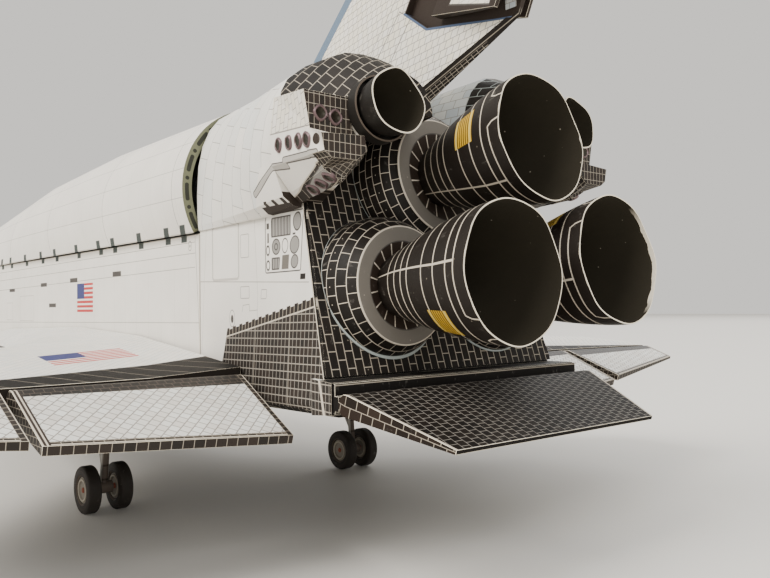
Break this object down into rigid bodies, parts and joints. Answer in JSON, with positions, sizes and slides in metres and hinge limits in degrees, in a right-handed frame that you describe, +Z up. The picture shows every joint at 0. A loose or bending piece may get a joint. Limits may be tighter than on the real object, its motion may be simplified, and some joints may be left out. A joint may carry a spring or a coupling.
{
  "type": "space_shuttle_orbiter_card_model",
  "caption": "Card model of a winged space shuttle orbiter with opening payload bay doors, elevons, body flap, split rudder panels and turning wheels",
  "frame": {"origin": "on the floor under the middle of the model's bounding box", "axes": "+X to port, +Y aft along the fuselage (nose at -Y), +Z up"},
  "size_m": [0.2378, 0.374, 0.1688],
  "materials": {
    "white_card": "matt",
    "grey_card": "matt",
    "black_card": "matt",
    "wheel_card": "matt",
    "strut_card": "matt"
  },
  "bodies": {
    "fuselage": {"aft_fuselage": "white_card", "base_heat_shield": "black_card", "engine_bell_port": "black_card", "engine_bell_starboard": "black_card", "engine_bell_top": "black_card", "engine_dome_port": "black_card", "engine_dome_starboard": "black_card", "engine_dome_top": "black_card", "flap_ledge": "black_card", "forward_fuselage": "white_card", "main_gear_door_port": "white_card", "main_gear_door_starboard": "white_card", "main_gear_leg_port": "strut_card", "main_gear_leg_starboard": "strut_card", "mid_fuselage": "white_card", "nose_gear_door_port": "white_card", "nose_gear_door_starboard": "white_card", "nose_gear_leg": "strut_card", "pod_nozzle_port": "black_card", "pod_nozzle_starboard": "black_card", "pod_port": "white_card", "pod_starboard": "white_card", "tail_fin": "white_card", "thruster_housing_port": "white_card", "thruster_housing_starboard": "white_card", "wing_port": "grey_card", "wing_starboard": "grey_card"},
    "payload_door_port_leaf": {"payload_door_port": "white_card"},
    "payload_door_starboard_leaf": {"payload_door_starboard": "white_card"},
    "elevon_inner_port_flap": {"elevon_inner_port": "grey_card"},
    "elevon_inner_starboard_flap": {"elevon_inner_starboard": "grey_card"},
    "elevon_outer_port_flap": {"elevon_outer_port": "grey_card"},
    "elevon_outer_starboard_flap": {"elevon_outer_starboard": "grey_card"},
    "body_flap_flap": {"body_flap": "black_card"},
    "speed_brake_port_panel": {"speed_brake_port": "grey_card"},
    "speed_brake_starboard_panel": {"speed_brake_starboard": "grey_card"},
    "main_wheels_port_pair": {"main_wheels_port": "wheel_card"},
    "main_wheels_starboard_pair": {"main_wheels_starboard": "wheel_card"},
    "nose_wheels_pair": {"nose_wheels": "wheel_card"}
  },
  "joints": [
    {"name": "payload_door_port_hinge", "type": "hinge", "parent": "fuselage", "child": "payload_door_port_leaf", "pos_m": [0.0282, -0.00735, 0.0672], "axis": [0, 1, 0], "range_deg": [0, 140]},
    {"name": "payload_door_starboard_hinge", "type": "hinge", "parent": "fuselage", "child": "payload_door_starboard_leaf", "pos_m": [-0.0282, -0.00735, 0.0672], "axis": [0, -1, 0], "range_deg": [0, 140]},
    {"name": "elevon_inner_port_hinge", "type": "hinge", "parent": "fuselage", "child": "elevon_inner_port_flap", "pos_m": [0.0528, 0.11, 0.03365], "axis": [0.9999, 0, 0.0114], "range_deg": [-3, 52]},
    {"name": "elevon_inner_starboard_hinge", "type": "hinge", "parent": "fuselage", "child": "elevon_inner_starboard_flap", "pos_m": [-0.0528, 0.11, 0.03365], "axis": [0.9999, 0, -0.0114], "range_deg": [-3, 52]},
    {"name": "elevon_outer_port_hinge", "type": "hinge", "parent": "fuselage", "child": "elevon_outer_port_flap", "pos_m": [0.0976, 0.11, 0.03425], "axis": [0.9999, 0, 0.0167], "range_deg": [-6, 49]},
    {"name": "elevon_outer_starboard_hinge", "type": "hinge", "parent": "fuselage", "child": "elevon_outer_starboard_flap", "pos_m": [-0.0976, 0.11, 0.03425], "axis": [0.9999, 0, -0.0167], "range_deg": [-6, 49]},
    {"name": "body_flap_hinge", "type": "hinge", "parent": "fuselage", "child": "body_flap_flap", "pos_m": [0, 0.1484, 0.0333], "axis": [1, 0, 0], "range_deg": [-5.5, 28.7]},
    {"name": "speed_brake_port_hinge", "type": "hinge", "parent": "fuselage", "child": "speed_brake_port_panel", "pos_m": [0.0008, 0.15658, 0.134], "axis": [0, -0.5549, -0.8319], "range_deg": [-13, 36.3]},
    {"name": "speed_brake_starboard_hinge", "type": "hinge", "parent": "fuselage", "child": "speed_brake_starboard_panel", "pos_m": [-0.0008, 0.15658, 0.134], "axis": [0, 0.5549, 0.8319], "range_deg": [-5, 44.3]},
    {"name": "main_wheels_port_spin", "type": "hinge", "parent": "fuselage", "child": "main_wheels_port_pair", "pos_m": [0.0389, 0.0569, 0.0058], "axis": [1, 0, 0], "continuous": true},
    {"name": "main_wheels_starboard_spin", "type": "hinge", "parent": "fuselage", "child": "main_wheels_starboard_pair", "pos_m": [-0.0389, 0.0569, 0.0058], "axis": [1, 0, 0], "continuous": true},
    {"name": "nose_wheels_spin", "type": "hinge", "parent": "fuselage", "child": "nose_wheels_pair", "pos_m": [0, -0.1518, 0.0041], "axis": [1, 0, 0], "continuous": true}
  ]
}
